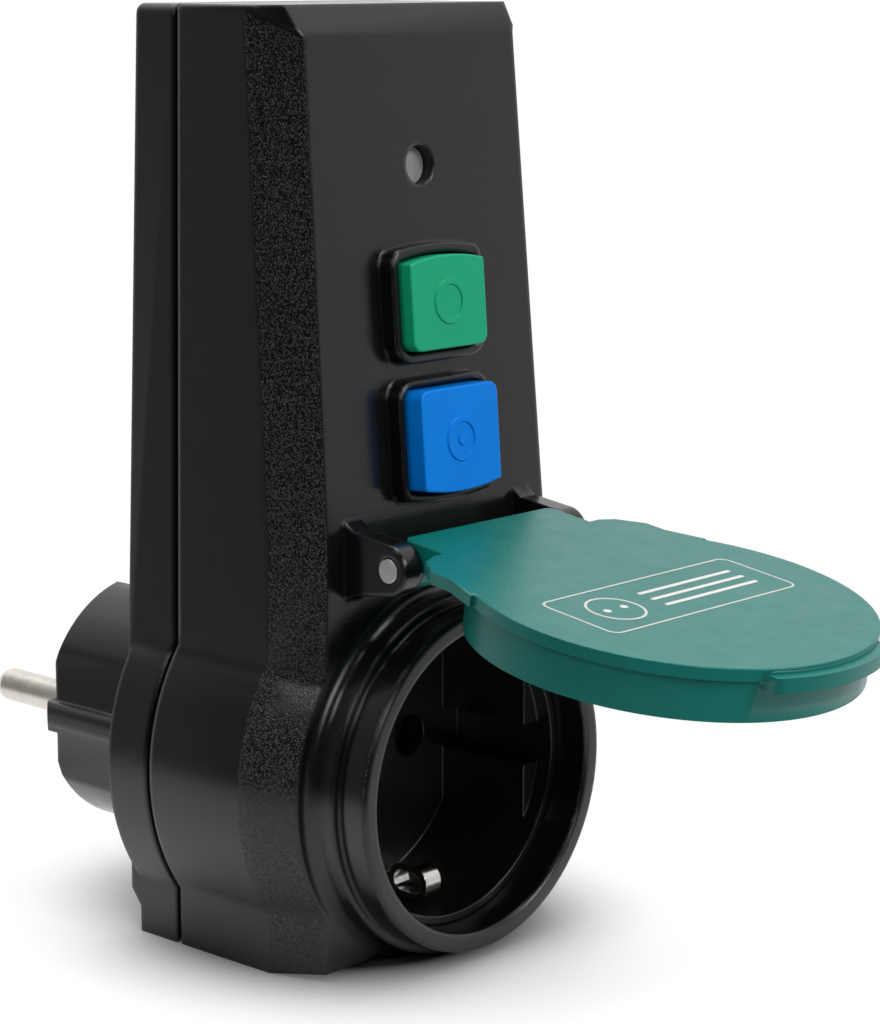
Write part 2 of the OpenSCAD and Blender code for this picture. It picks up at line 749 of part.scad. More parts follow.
// A button cap with its flange and stem
module button(w, h, v, up, proud) {
  on_face() translate([0, v, 0]) {
    translate([0, 0, flange_front_n - 0.1]) linear_extrude(frame_h + proud - flange_front_n + 0.1)
      arched(w, h, 0, up);
    translate([0, 0, flange_back_n]) linear_extrude(flange_t) arched(w, h, flange_out, up);
    translate([0, 0, plunger_top_n]) cylinder(r = stem_r, h = flange_back_n - plunger_top_n + 0.5);
  }
}

module reset_button() color([0.05, 0.62, 0.42]) button(reset_w, reset_h, reset_mid_v, true, reset_proud);
module test_button() color([0.05, 0.4, 0.8]) button(test_w, test_h, test_mid_v, false, test_proud);

// Points of one ring of a coil spring
function coil_ring(a, mid_r, h0, pitch, sides, wire_r) = [
  for (j = [0 : sides - 1])
    let (b = 360 * j / sides, r = mid_r + wire_r * cos(b))
    [r * cos(a), r * sin(a), h0 + pitch * a / 360 + wire_r * sin(b)]
];

// A coil spring that stands along Z from zero to a height
module coil(mid_r, height, turns, wire) {
  sides = 6;
  steps = 16 * turns;
  pitch = (height - wire) / turns;
  points = [for (i = [0 : steps])
    each coil_ring(360 * turns * i / steps, mid_r, wire / 2, pitch, sides, wire / 2)];
  tube = [for (i = [0 : steps - 1], j = [0 : sides - 1], k = [0, 1])
    let (a = i * sides + j, b = i * sides + (j + 1) % sides, c = a + sides, d = b + sides)
    k == 0 ? [a, c, b] : [b, c, d]];
  caps = [for (j = [1 : sides - 2]) each [[0, j, j + 1],
          [steps * sides, steps * sides + j + 1, steps * sides + j]]];
  polyhedron(points, concat(tube, caps));
}

// A button's return spring, from the switch to the button's flange
module button_spring(v) color([0.7, 0.7, 0.7]) {
  on_face() translate([0, v, switch_top_n + seat_gap])
    coil(stem_r + 0.9, flange_back_n - switch_top_n - 2 * seat_gap, spring_turns, spring_wire);
}

module reset_spring() button_spring(reset_mid_v);
module test_spring() button_spring(test_mid_v);

module button_seal() color([0.2, 0.2, 0.2]) {
  seal_low_v = test_v - test_h - arch_h - 3.2;
  seal_top_v = reset_v + reset_h + arch_h + 3.2;
  on_face() difference() {
    translate([-10.5, seal_low_v, seal_back_n]) cube([21, seal_top_v - seal_low_v, seal_t]);
    button_hole(reset_w, reset_h, reset_mid_v, true);
    button_hole(test_w, test_h, test_mid_v, false);
  }
}

module indicator_lens() color([0.75, 0.77, 0.78]) {
  on_face() translate([0, lens_v, 0]) {
    translate([0, 0, -wall - 1.2]) cylinder(r = lens_d / 2 + 1.2, h = 1.2);
    translate([0, 0, -wall - 0.5]) cylinder(r = lens_d / 2 - seat_gap, h = wall + 0.5 - lens_back);
    translate([0, 0, board_front_n + 3.2]) cylinder(r = 1.8, h = board_back - wall - 3.2);
  }
}

module indicator_led() color([0.9, 0.9, 0.85]) {
  on_face() translate([0, lens_v, board_front_n]) {
    cylinder(r = 2.2, h = 1.2);
    cylinder(r = 1.5, h = 3);
  }
}

module relay() color([0.12, 0.12, 0.13]) {
  on_face() translate([-relay_w / 2, relay_v, board_rear_n - relay_d]) cube([relay_w, relay_h, relay_d]);
}

module control_chip() color([0.06, 0.06, 0.06]) {
  on_face() translate([-4, lens_v - 9, board_front_n]) cube([8, 5, 1.5]);
}

module film_capacitor() color([0.75, 0.6, 0.15]) {
  size = [11, 8, 6];
  on_face() translate([post_x - board_screw_r - 0.5 - size[0], relay_v + relay_h + 2, board_rear_n - size[2]])
    cube(size);
}

module storage_capacitor() color([0.12, 0.2, 0.3]) {
  on_face() translate([-7, relay_v + relay_h + 6, board_rear_n - 8]) cylinder(r = 4, h = 8);
}

module varistor() color([0.2, 0.35, 0.6]) {
  on_face() translate([-board_w / 2 + 3.5, 17, board_front_n + 5])
    rotate([0, 90, 0]) cylinder(r = 5, h = 2.5);
}

module resistors() color([0.55, 0.42, 0.25]) {
  on_face() for (i = [0 : 3])
    translate([board_w / 2 - 5.5, 14 + 5 * i, board_front_n + 1.2]) rotate([0, 90, 0])
      cylinder(r = 1.2, h = 4.5);
}

module transformer_core() color([0.3, 0.3, 0.32]) {
  translate([0, ct_y, ct_z]) difference() {
    cylinder(r = ct_r - 0.8, h = ct_h - 1.6, center = true);
    cylinder(r = ct_hole + 0.8, h = ct_h, center = true);
  }
}

module transformer_winding() color([0.65, 0.33, 0.12]) {
  translate([0, ct_y, ct_z]) difference() {
    cylinder(r = ct_r, h = ct_h, center = true);
    cylinder(r = ct_hole, h = ct_h + 1, center = true);
    difference() {
      cylinder(r = ct_r - 0.75, h = ct_h - 1.5, center = true);
      cylinder(r = ct_hole + 0.75, h = ct_h, center = true);
    }
  }
}

// A strip from a plug pin up to the board
module feed(s) color([0.75, 0.45, 0.25]) {
  x0 = s * pin_x - 1.6;
  translate([x0, -strip_d - sheet, -2]) cube([3.2, sheet, lead_z + 2]);
  translate([x0, -board_rear_d(lead_z) + 0.2, lead_z - sheet])
    cube([3.2, board_rear_d(lead_z) - 0.2 - strip_d, sheet]);
}

module live_feed() feed(-1);
module neutral_feed() feed(1);

// A bar from the board through the transformer to a socket contact
module load_bar(s) color([0.72, 0.42, 0.22]) {
  half = bar_w / 2;
  x0 = 0.6;
  turn_z = chamber_r + 4;
  lead_d = board_rear_d(lead_z) - 0.2;
  mirror([s > 0 ? 0 : 1, 0, 0]) {
    translate([x0, -lead_d, lead_z - half]) cube([bar_w, lead_d + ct_y + half, bar_w]);
    translate([x0, ct_y - half, turn_z]) cube([bar_w, bar_w, lead_z + half - turn_z]);
    translate([x0, ct_y - half, turn_z]) cube([pin_x + half - x0, bar_w, bar_w]);
    translate([pin_x - half, ct_y - half, sleeve_r]) cube([bar_w, bar_w, turn_z + bar_w - sleeve_r]);
  }
}

module live_load_bar() load_bar(-1);
module neutral_load_bar() load_bar(1);

module hinge_pin() color([0.75, 0.75, 0.77]) {
  translate([-ear_span / 2 - 0.2, -hinge_d, hinge_z]) rotate([0, 90, 0])
    cylinder(r = hinge_r, h = ear_span + 0.4);
}

// Turns a lid piece from closed to the angle at which the lid stands open
module open_lid() {
  translate([0, -hinge_d, hinge_z]) rotate([-lid_open, 0, 0]) translate([0, hinge_d, -hinge_z]) children();
}

// Outline of the lid's plate, as seen from the front with the lid closed
module lid_outline() {
  neck = ear_in - lid_gap;
  neck_end = 1.4;
  half = [[lid_r * 0.63, 5.6], [lid_r * 0.72, 6.6], [lid_r * 0.82, 10], [lid_r * 0.82, 13.2],
          [lid_r * 0.9, 18.5]];
  circle(r = lid_r);
  translate([-neck, 0]) rounded(2 * neck, hinge_z + neck_end, neck_end);
  for (s = [0, 1]) mirror([s, 0])
    polygon(concat([[0, hinge_z - half[4][1]], [0, hinge_z - half[0][1]]],
                   [for (p = half) [p[0], hinge_z - p[1]]]));
}

module lid() color([0.1, 0.68, 0.55]) {
  neck = ear_in - lid_gap;
  open_lid() difference() {
    union() {
      slab(hinge_d + lid_under, hinge_d + lid_rise) lid_outline();
      slab(hinge_d + skirt_edge, hinge_d + lid_under + 0.1) difference() {
        circle(r = skirt_r);
        circle(r = skirt_in_r);
      }
      slab(hinge_d + lid_under - 1, hinge_d + lid_rise - 0.7) intersection() {
        circle(r = lid_r + tab_l);
        translate([-tab_w / 2, -lid_r - tab_l - 1]) square([tab_w, tab_l + 6]);
      }
      translate([-neck, -hinge_d, hinge_z]) rotate([0, 90, 0]) cylinder(r = knuckle_r, h = 2 * neck);
      slab(hinge_d, hinge_d + lid_rise - 0.2)
        translate([-neck, hinge_z - knuckle_r - 1.5]) square([2 * neck, knuckle_r + 1.5]);
    }
    translate([-ear_span, -hinge_d, hinge_z]) rotate([0, 90, 0])
      cylinder(r = hinge_r + run_gap, h = 2 * ear_span);
    rod(skirt_in_r, hinge_d + skirt_edge - 5, hinge_d + lid_under);
    intersection() {
      rod(relief_r, hinge_d + skirt_edge - 1, hinge_d + 0.2);
      translate([-big / 2, -big, 0]) cube(big);
    }
  }
}

module lid_gasket() color([0.15, 0.15, 0.15]) {
  open_lid() slab(hinge_d + lid_under - gasket_t, hinge_d + lid_under) difference() {
    circle(r = skirt_in_r - 0.2);
    circle(r = bore_r - 0.6);
  }
}

rear_housing();
front_housing();
housing_seal();
housing_screws();
live_pin();
neutral_pin();
upper_plug_earth_contact();
lower_plug_earth_contact();
earth_strap();
socket_insert();
socket_earth_bow();
live_socket_contact();
neutral_socket_contact();
circuit_board();
board_screws();
reset_switch();
test_switch();
reset_plunger();
test_plunger();
reset_button();
test_button();
reset_spring();
test_spring();
button_seal();
indicator_lens();
indicator_led();
relay();
control_chip();
film_capacitor();
storage_capacitor();
varistor();
resistors();
transformer_core();
transformer_winding();
live_feed();
neutral_feed();
live_load_bar();
neutral_load_bar();
hinge_pin();
lid();
lid_gasket();
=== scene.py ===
"""Dressed view of a residual-current adapter plug with a flip lid.

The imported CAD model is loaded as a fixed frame. Every node gets its material, rounded copies stand
for the sharp-edged nodes, marks without words are added, and camera, floor, world and lamps follow.
Lengths are in metres; a value in millimetres is multiplied by MM.
"""
import json
import math

import bmesh
import bpy
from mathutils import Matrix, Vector


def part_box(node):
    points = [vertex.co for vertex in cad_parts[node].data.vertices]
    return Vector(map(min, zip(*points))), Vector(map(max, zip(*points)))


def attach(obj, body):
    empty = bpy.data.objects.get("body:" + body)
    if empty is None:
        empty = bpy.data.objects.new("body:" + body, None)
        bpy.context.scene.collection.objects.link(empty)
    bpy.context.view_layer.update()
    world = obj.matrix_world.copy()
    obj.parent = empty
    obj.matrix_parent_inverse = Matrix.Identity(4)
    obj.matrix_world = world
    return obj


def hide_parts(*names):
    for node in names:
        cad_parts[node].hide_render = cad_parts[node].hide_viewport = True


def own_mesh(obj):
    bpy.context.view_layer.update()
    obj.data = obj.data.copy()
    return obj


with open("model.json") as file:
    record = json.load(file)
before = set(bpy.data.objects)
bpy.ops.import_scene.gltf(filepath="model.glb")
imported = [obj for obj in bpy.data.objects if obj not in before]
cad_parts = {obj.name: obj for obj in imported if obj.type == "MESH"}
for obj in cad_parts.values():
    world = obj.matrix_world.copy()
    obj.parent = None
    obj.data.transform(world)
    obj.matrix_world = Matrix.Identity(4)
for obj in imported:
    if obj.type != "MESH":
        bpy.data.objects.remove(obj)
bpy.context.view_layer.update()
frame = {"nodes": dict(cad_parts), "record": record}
scene = bpy.context.scene
scene.view_settings.view_transform = "Standard"

MM = 0.001

behaviour = frame["record"]["behaviour"]
joint_of = {joint["name"]: joint for joint in behaviour["joints"]}
body_of = {node: body for body, nodes in behaviour["bodies"].items() for node in nodes}
slot_of = {part["node"]: part["material_slot"] for part in frame["record"]["subparts"]}

# Mesh work: welding distance, what counts as flat, and which turns count as edges
WELD = 1e-6
FLAT = 0.02 * MM
FLAT_TURN = math.radians(0.4)
EDGE_TURN = 0.4
SHARP_TURN = math.radians(32)
ARC_PROFILE = 0.5

# The tower's face leans back, and the button frames stand proud of it
SIDEWAYS = Vector((1, 0, 0))
OUTWARD = Vector((0, -1, 0))
LEAN = math.radians(4.25)
FACE_OUT = Vector((0, -math.cos(LEAN), math.sin(LEAN)))
FACE_UP = Vector((0, math.sin(LEAN), math.cos(LEAN)))
FACE_FOOT = Vector((0, -61.0, 34.0)) * MM
FRAME_HEIGHT = 2.4 * MM

# Shells: planes whose edges are rounded, and the two upper corners
REAR_PLANE = 0.0
SHOULDER_DEPTH = 65.0 * MM
LIP_DEPTH = 69.6 * MM
PIN_PROUD = 0.2 * MM
EAR_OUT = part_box("hinge_pin")[1].x - PIN_PROUD
SOLE_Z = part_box("front_housing")[0].z
BODY_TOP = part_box("rear_housing")[1].z
TOP_HALF = max(v.co.x for v in frame["nodes"]["rear_housing"].data.vertices
               if v.co.z > BODY_TOP - FLAT)
CORNER_NEAR = 1.0 * MM
CORNER_STRAIGHT = 0.1 * MM

# Rounded edges: radius and segments
BUTTON_ROUND = (0.9 * MM, 4)
LID_ROUND = (0.6 * MM, 4)
CORNER_ROUND = (1.4 * MM, 4)
REAR_ROUND = (0.4 * MM, 2)
LIP_ROUND = (0.6 * MM, 3)
SHOULDER_ROUND = (0.4 * MM, 2)
FRAME_ROUND = (0.5 * MM, 3)
EAR_ROUND = (0.5 * MM, 3)

# The open lid
LID_ANGLE = math.radians(81.3)
LID_OUT = Vector((0, -math.cos(LID_ANGLE), math.sin(LID_ANGLE)))
LID_AWAY = Vector((0, -math.sin(LID_ANGLE), -math.cos(LID_ANGLE)))
LID_MIDDLE = 31.1 * MM
HINGE = Vector(joint_of["lid_hinge"]["pos_m"])

# Slanted flanks of the front shell end in a shallow step below the tower's top: the step's two
# edges start at one point on the side and fall towards the front.
FLANK_TURN = 0.29
FLANK_SPREAD = 0.09
FLANK_RISE = 0.75
SIDE_FACING = 0.985
STEP_START = Vector((0, -47.7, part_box("front_housing")[1].z / MM - 0.8)) * MM
STEP_FALL_LOW = 0.395
STEP_FALL_HIGH = 0.29
STEP_OUT = 0.6 * MM

# Marks, in millimetres: height and width of the sloping edge; a ring's outer and inner radius; a
# dot's radius and number of points; a panel's half width, half height and corner radius, and for a
# bar the steps round each corner
RAISED = (0.22, 0.12)
PRINTED = (0.03, 0.02)
BUTTON_RING = (2.9, 2.3)
BUTTON_DOT = (0.8, 32)
PANEL_OUTER = (18.5, 6.2, 1.6)
PANEL_INNER = (18.2, 5.9, 1.3)
LID_RING_AT = (-11, 0)
LID_RING = (3.9, 3.55)
LID_DOTS_X = (-12.6, -9.4)
LID_DOT = (0.55, 24)
LID_BAR = (9.4, 0.35, 0.3, 4)
LID_BARS_X = 5.4
LID_BARS_Y = (2.2, 0.0, -2.2)

# Surface detail: scale per metre and detail of each noise, the range that noise mostly stays in,
# how far roughness strays below and above its value, and strength and depth of a bump
NOISE_RANGE = (0.3, 0.7)
NOISE_ROUGHNESS = 0.5
PATCHES = (90, 3)
GLOSS = (260, 4)
PLASTIC_STRAY = (-0.04, 0.05)
GRAIN_DEPTH = 0.0002
BEVEL_SAMPLES = 6
STREAKS = (400, 3)
METAL_STRAY = (-0.05, 0.08)
DULL_SPOTS = (500, 3)
DULL_RANGE = (0.45, 0.75)
DULL_TONE = 0.82
METAL_BUMP = (0.05, 0.0001)
METAL_ROUND = 0.0002

# Front shell: satin gloss, fine grain, and sparse specks on the flanks
SATIN = (0.18, 0.24)
FLANK_ROUGHER = 0.06
FINE_SCALE = 3300
FINE_HEIGHT = 0.05
SPECK_SCALE = 3600
SPECK_RANGE = (0.52, 0.8)
SPECK_HEIGHT = 0.5
SHELL_BUMP = (0.8, 0.0003)
SHELL_ROUND = 0.0008

# Indicator lens
LENS_TONES = ((0.3, 0.31, 0.31), (0.46, 0.47, 0.47))
LENS_SCALE = 700
LENS_ROUGHNESS = 0.12
LENS_CLEAR = 0.4
LENS_GRAIN_SCALE = 2500
LENS_BUMP = (0.1, 0.0001)

# Moulded plastics: dark and light tone, roughness, grain strength, grain size, edge rounding in the
# shading (0 for none) and, where it isn't the usual 0.5, specular level
BLACK = ((0.003, 0.003, 0.0032), (0.005, 0.0049, 0.005))
PLASTICS = {
    "black_shell": (*BLACK, 0.21, 0.03, 0.0003, 0.0009),
    "black_insert": ((0.004, 0.004, 0.0045), (0.007, 0.007, 0.0075), 0.24, 0.05, 0.0003, 0.0004),
    "black_rubber": ((0.004, 0.004, 0.004), (0.007, 0.007, 0.007), 0.7, 0.1, 0.0004, 0.0),
    "board_green": ((0.02, 0.12, 0.05), (0.03, 0.16, 0.07), 0.4, 0.05, 0.0006, 0.0),
    "dark_plastic": ((0.012, 0.012, 0.012), (0.02, 0.02, 0.02), 0.5, 0.08, 0.0003, 0.0003),
    "pale_plastic": ((0.6, 0.59, 0.55), (0.68, 0.67, 0.63), 0.45, 0.04, 0.0004, 0.0003),
    "ochre_plastic": ((0.45, 0.28, 0.03), (0.52, 0.34, 0.05), 0.3, 0.04, 0.0006, 0.0006),
    "can_blue": ((0.02, 0.04, 0.1), (0.03, 0.06, 0.14), 0.3, 0.03, 0.0006, 0.0004),
    "disc_blue": ((0.03, 0.12, 0.35), (0.05, 0.16, 0.42), 0.3, 0.06, 0.0006, 0.0006),
    "tan_coat": ((0.36, 0.22, 0.1), (0.44, 0.28, 0.14), 0.35, 0.04, 0.0004, 0.0004),
    "ferrite": ((0.05, 0.05, 0.052), (0.075, 0.075, 0.08), 0.6, 0.1, 0.0003, 0.0003),
    "reset_green": ((0.004, 0.33, 0.165), (0.006, 0.38, 0.19), 0.42, 0.05, 0.0005, 0.0, 0.25),
    "test_blue": ((0.0, 0.19, 0.7), (0.0, 0.215, 0.76), 0.42, 0.05, 0.0005, 0.0, 0.15),
    "lid_green": ((0.001, 0.125, 0.105), (0.002, 0.15, 0.127), 0.32, 0.16, 0.0004, 0.0, 0.3),
}

# Metals: colour, roughness and how far the streaks are squeezed along each axis
METALS = {
    "steel": ((0.62, 0.61, 0.6), 0.45, (1, 8, 8)),
    "nickel": ((0.72, 0.68, 0.62), 0.24, (8, 1, 8)),
    "bright_nickel": ((0.78, 0.76, 0.73), 0.16, (1, 8, 8)),
    "brass": ((0.72, 0.5, 0.2), 0.3, (8, 1, 8)),
    "copper": ((0.7, 0.32, 0.16), 0.35, (8, 8, 1)),
}

# Camera at the photograph's viewing angle
CAMERA_YAW = math.radians(47.546)
CAMERA_PITCH = math.radians(10.853)
CAMERA_PLACE = Vector((-275.44, -313.13, 106.78)) * MM
CAMERA_LENS = 100.78
SENSOR_WIDTH = 36
CLIP_START = 0.01

# Floor: its shadow, cast by the lamps and deepened by painted shade at the foot, lies round the foot
# and fades to white, and then the floor itself fades out
FOOT_MIDDLE = (0.0, -0.043)
FLOOR_GAP = 0.0001
FLOOR_SIDES = 96
# The pale floor tone, and the dark tone of the painted shade
FLOOR_AND_PAINTED_SHADE_TONES = ((0.03, 0.03, 0.03), (0.93, 0.93, 0.93))
# Painted shade: the floor's colour darkens with ambient occlusion within this reach, this steeply
PAINTED_SHADE_REACH = 0.02
PAINTED_SHADE_SAMPLES = 8
PAINTED_SHADE_CURVE = 1.6
SHADOW_FADE = (0.022, 0.052)
FLOOR_FADE = (0.09, 0.19)

# World: white, but reflections see it fall to dark away from the bright side
WHITE = (1, 1, 1, 1)
BRIGHT_YAW = CAMERA_YAW + math.radians(10)
MIRROR_FADE = (-0.6, 0.5)
MIRROR_CURVE = 1.5
BACK_DARK = 0.04
SOFT_LIGHT = 0.2

# Lamps: name, place, target, side and power in watts
LAMPS = (
    ("top_softbox", (0.1, 0.2, 1.1), (0, -0.05, 0), 0.95, 13),
    ("near_softbox", (-0.4, -0.9, 0.5), (0, -0.05, 0.03), 0.4, 2.6),
    ("right_softbox", (0.3, -1.15, 0.7), (0, -0.05, 0.03), 0.5, 8.5),
    ("left_softbox", (-0.8, 0.05, 0.7), (0, -0.05, 0.03), 0.25, 1.2),
)


# Shader helpers


def blank_material(name):
    """An empty node material, its tree and its output node."""
    material = bpy.data.materials.new(name)
    material.use_nodes = True
    tree = material.node_tree
    tree.nodes.clear()
    return material, tree, tree.nodes.new("ShaderNodeOutputMaterial")


def new_material(name):
    """A node material, its tree and its Principled shader."""
    material, tree, output = blank_material(name)
    shader = tree.nodes.new("ShaderNodeBsdfPrincipled")
    tree.links.new(shader.outputs["BSDF"], output.inputs["Surface"])
    return material, tree, shader


def add(tree, kind, **settings):
    """Adds a node, with inputs given by name and other settings as attributes."""
    node = tree.nodes.new(kind)
    for key, value in settings.items():
        if key in node.inputs:
            node.inputs[key].default_value = value
        else:
            setattr(node, key, value)
    return node


def math_node(tree, operation, a, b=None, c=None):
    """A Math node on sockets or numbers; returns its output."""
    node = tree.nodes.new("ShaderNodeMath")
    node.operation = operation
    for i, value in enumerate((a, b, c)):
        if value is None:
            continue
        if isinstance(value, (int, float)):
            node.inputs[i].default_value = value
        else:
            tree.links.new(value, node.inputs[i])
    return node.outputs[0]


def vector_node(tree, operation, vector, other=None):
    """A Vector Math node on a socket and, where given, a fixed vector."""
    node = add(tree, "ShaderNodeVectorMath", operation=operation)
    tree.links.new(vector, node.inputs[0])
    if other is not None:
        node.inputs[1].default_value = other
    return node


def split(tree, vector):
    """The X, Y and Z outputs of a vector."""
    node = tree.nodes.new("ShaderNodeSeparateXYZ")
    tree.links.new(vector, node.inputs[0])
    return node.outputs


def ramp(tree, value, low, high, to_low=0, to_high=1):
    """Maps a value from one range to another, clamped."""
    node = tree.nodes.new("ShaderNodeMapRange")
    node.clamp = True
    node.inputs["From Min"].default_value = low
    node.inputs["From Max"].default_value = high
    node.inputs["To Min"].default_value = to_low
    node.inputs["To Max"].default_value = to_high
    tree.links.new(value, node.inputs["Value"])
    return node.outputs["Result"]


def noise(tree, coordinates, scale, detail=2.0):
    """A noise value from 0 to 1."""
    node = add(tree, "ShaderNodeTexNoise", Scale=scale, Detail=detail,
               Roughness=NOISE_ROUGHNESS)
    tree.links.new(coordinates, node.inputs["Vector"])
    return node.outputs["Fac"]


def mix_colour(tree, factor, a, b):
    """A colour between two fixed colours; 6, 7 and output 2 are the Mix node's colour sockets."""
    node = tree.nodes.new("ShaderNodeMix")
    node.data_type = "RGBA"
    node.inputs[6].default_value = (*a, 1)
    node.inputs[7].default_value = (*b, 1)
    tree.links.new(factor, node.inputs[0])
    return node.outputs[2]


def mix_shader(tree, factor, first, second):
    """A shader between two shader nodes."""
    node = tree.nodes.new("ShaderNodeMixShader")
    tree.links.new(factor, node.inputs[0])
    tree.links.new(first.outputs[0], node.inputs[1])
    tree.links.new(second.outputs[0], node.inputs[2])
    return node


def object_space(tree):
    """Coordinates in the object's own space, about its own origin."""
    return tree.nodes.new("ShaderNodeTexCoord").outputs["Object"]


def rounded_normal(tree, radius):
    """Rounds the shading of sharp edges."""
    return add(tree, "ShaderNodeBevel", samples=BEVEL_SAMPLES, Radius=radius).outputs["Normal"]


def bump(tree, height, strength, distance, normal=None):
    """A normal that follows a height, on top of another normal where one is given."""
    node = add(tree, "ShaderNodeBump", Strength=strength, Distance=distance)
    tree.links.new(height, node.inputs["Height"])
    if normal is not None:
        tree.links.new(normal, node.inputs["Normal"])
    return node.outputs["Normal"]


# Materials


def moulded(name, dark, light, roughness, grain, grain_size, round_radius, specular=0.5):
    """Moulded plastic: two close tones, uneven gloss, fine surface grain and rounded edges."""
    material, tree, shader = new_material(name)
    here = object_space(tree)
    patches = noise(tree, here, *PATCHES)
    tree.links.new(mix_colour(tree, patches, dark, light), shader.inputs["Base Color"])
    limits = (roughness + stray for stray in PLASTIC_STRAY)
    gloss = ramp(tree, noise(tree, here, *GLOSS), *NOISE_RANGE, *limits)
    tree.links.new(gloss, shader.inputs["Roughness"])
    fine = noise(tree, here, 1 / grain_size)
    rounded = rounded_normal(tree, round_radius) if round_radius else None
    tree.links.new(bump(tree, fine, grain, GRAIN_DEPTH, rounded), shader.inputs["Normal"])
    shader.inputs["Specular IOR Level"].default_value = specular
    return material


def metal(name, colour, roughness, streak):
    """Plated or drawn metal with fine streaks and a few dull spots."""
    material, tree, shader = new_material(name)
    here = object_space(tree)
    shader.inputs["Metallic"].default_value = 1.0
    stretch = add(tree, "ShaderNodeMapping", Scale=streak)
    tree.links.new(here, stretch.inputs["Vector"])
    lines = noise(tree, stretch.outputs["Vector"], *STREAKS)
    dull = ramp(tree, noise(tree, here, *DULL_SPOTS), *DULL_RANGE)
    darker = tuple(DULL_TONE * c for c in colour)
    tree.links.new(mix_colour(tree, dull, colour, darker), shader.inputs["Base Color"])
    limits = (roughness + stray for stray in METAL_STRAY)
    tree.links.new(ramp(tree, lines, *NOISE_RANGE, *limits), shader.inputs["Roughness"])
    rounded = rounded_normal(tree, METAL_ROUND)
    tree.links.new(bump(tree, lines, *METAL_BUMP, rounded), shader.inputs["Normal"])
    return material


def front_shell_material():
    """Black front shell: satin faces, and sparse sparkling specks on the slanted flanks."""
    material, tree, shader = new_material("black_front")
    here = object_space(tree)
    normal = split(tree, tree.nodes.new("ShaderNodeNewGeometry").outputs["True Normal"])
    slant = math_node(tree, "ABSOLUTE", math_node(tree, "ADD", normal["Y"], FLANK_TURN))
    flank = math_node(tree, "LESS_THAN", slant, FLANK_SPREAD)
    steep = math_node(tree, "LESS_THAN", normal["Z"], FLANK_RISE)
    flank = math_node(tree, "MULTIPLY", flank, steep)
    place = split(tree, here)
    climb = math_node(tree, "MULTIPLY_ADD", place["Y"], -STEP_FALL_HIGH, place["Z"])
    below_step = math_node(tree, "LESS_THAN", climb,
                           STEP_START.z - STEP_FALL_HIGH * STEP_START.y)
    flank = math_node(tree, "MULTIPLY", flank, below_step)
    patches = noise(tree, here, *PATCHES)
    tree.links.new(mix_colour(tree, patches, *BLACK), shader.inputs["Base Color"])
    satin = ramp(tree, noise(tree, here, *GLOSS), *NOISE_RANGE, *SATIN)
    rough = math_node(tree, "ADD", satin, math_node(tree, "MULTIPLY", flank, FLANK_ROUGHER))
    tree.links.new(rough, shader.inputs["Roughness"])
    fine = math_node(tree, "MULTIPLY", noise(tree, here, FINE_SCALE), FINE_HEIGHT)
    specks = ramp(tree, noise(tree, here, SPECK_SCALE), *SPECK_RANGE, 0, SPECK_HEIGHT)
    height = math_node(tree, "ADD", fine, math_node(tree, "MULTIPLY", specks, flank))
    rounded = rounded_normal(tree, SHELL_ROUND)
    tree.links.new(bump(tree, height, *SHELL_BUMP, rounded), shader.inputs["Normal"])
    return material


def lens_material():
    """Frosted clear plastic over the indicator lamp."""
    material, tree, shader = new_material("clear_lens")
    here = object_space(tree)
    tone = mix_colour(tree, noise(tree, here, LENS_SCALE), *LENS_TONES)
    tree.links.new(tone, shader.inputs["Base Color"])
    shader.inputs["Roughness"].default_value = LENS_ROUGHNESS
    shader.inputs["Transmission Weight"].default_value = LENS_CLEAR
    grain = noise(tree, here, LENS_GRAIN_SCALE)
    tree.links.new(bump(tree, grain, *LENS_BUMP), shader.inputs["Normal"])
    return material


materials = {name: moulded(name, *values) for name, values in PLASTICS.items()}
materials.update({name: metal(name, *values) for name, values in METALS.items()})
materials["black_front"] = front_shell_material()
materials["clear_lens"] = lens_material()

for node_name, slot_name in slot_of.items():
    node_mesh = frame["nodes"][node_name].data
    node_mesh.materials.clear()
    node_mesh.materials.append(materials[slot_name])


# Rounded meshes in place of sharp-edged nodes


def reach_of(name, normal):
    """How far a node reaches along a direction."""
    return max(v.co.dot(normal) for v in frame["nodes"][name].data.vertices)


def turns_out(edge):
    """Whether an edge is a clear outward turn."""
    return edge.is_convex and edge.calc_face_angle(0.0) > EDGE_TURN


def on_plane(normal, height):
    """A test for edges that lie on a plane and turn outwards there."""
    def test(edge):
        level = all(abs(v.co.dot(normal) - height) < FLAT for v in edge.verts)
        return level and turns_out(edge)
    return test


def top_corner(edge):
    """A test for the tower's two upper corners, which run front to back."""
    high = all(v.co.z > BODY_TOP - FLAT and abs(v.co.x) > TOP_HALF - CORNER_NEAR
               for v in edge.verts)
    along = abs(edge.verts[0].co.x - edge.verts[1].co.x) < CORNER_STRAIGHT
    return high and along and turns_out(edge)


def flank_step(bm):
    """Lets the slanted flanks end in a shallow step below the tower's top."""
    def flanks():
        return [f for f in bm.faces
                if abs(f.normal.y + FLANK_TURN) < FLANK_SPREAD and f.normal.z < FLANK_RISE
                and f.calc_center_median().z > FACE_FOOT.z]

    for fall in (STEP_FALL_LOW, STEP_FALL_HIGH):
        faces = flanks()
        edges = {e for f in faces for e in f.edges}
        verts = {v for f in faces for v in f.verts}
        bmesh.ops.bisect_plane(bm, geom=faces + list(edges) + list(verts), dist=WELD,
                               plane_co=STEP_START, plane_no=Vector((0, -fall, 1)))
    bm.normal_update()
    high = Vector((0, -STEP_FALL_HIGH, 1))
    caps = [f for f in flanks() if (f.calc_center_median() - STEP_START).dot(high) > 0]
    for v in {v for f in caps for v in f.verts}:
        if all(abs(f.normal.x) < SIDE_FACING for f in v.link_faces):
            v.co.x += math.copysign(STEP_OUT, v.co.x)
    bm.normal_update()


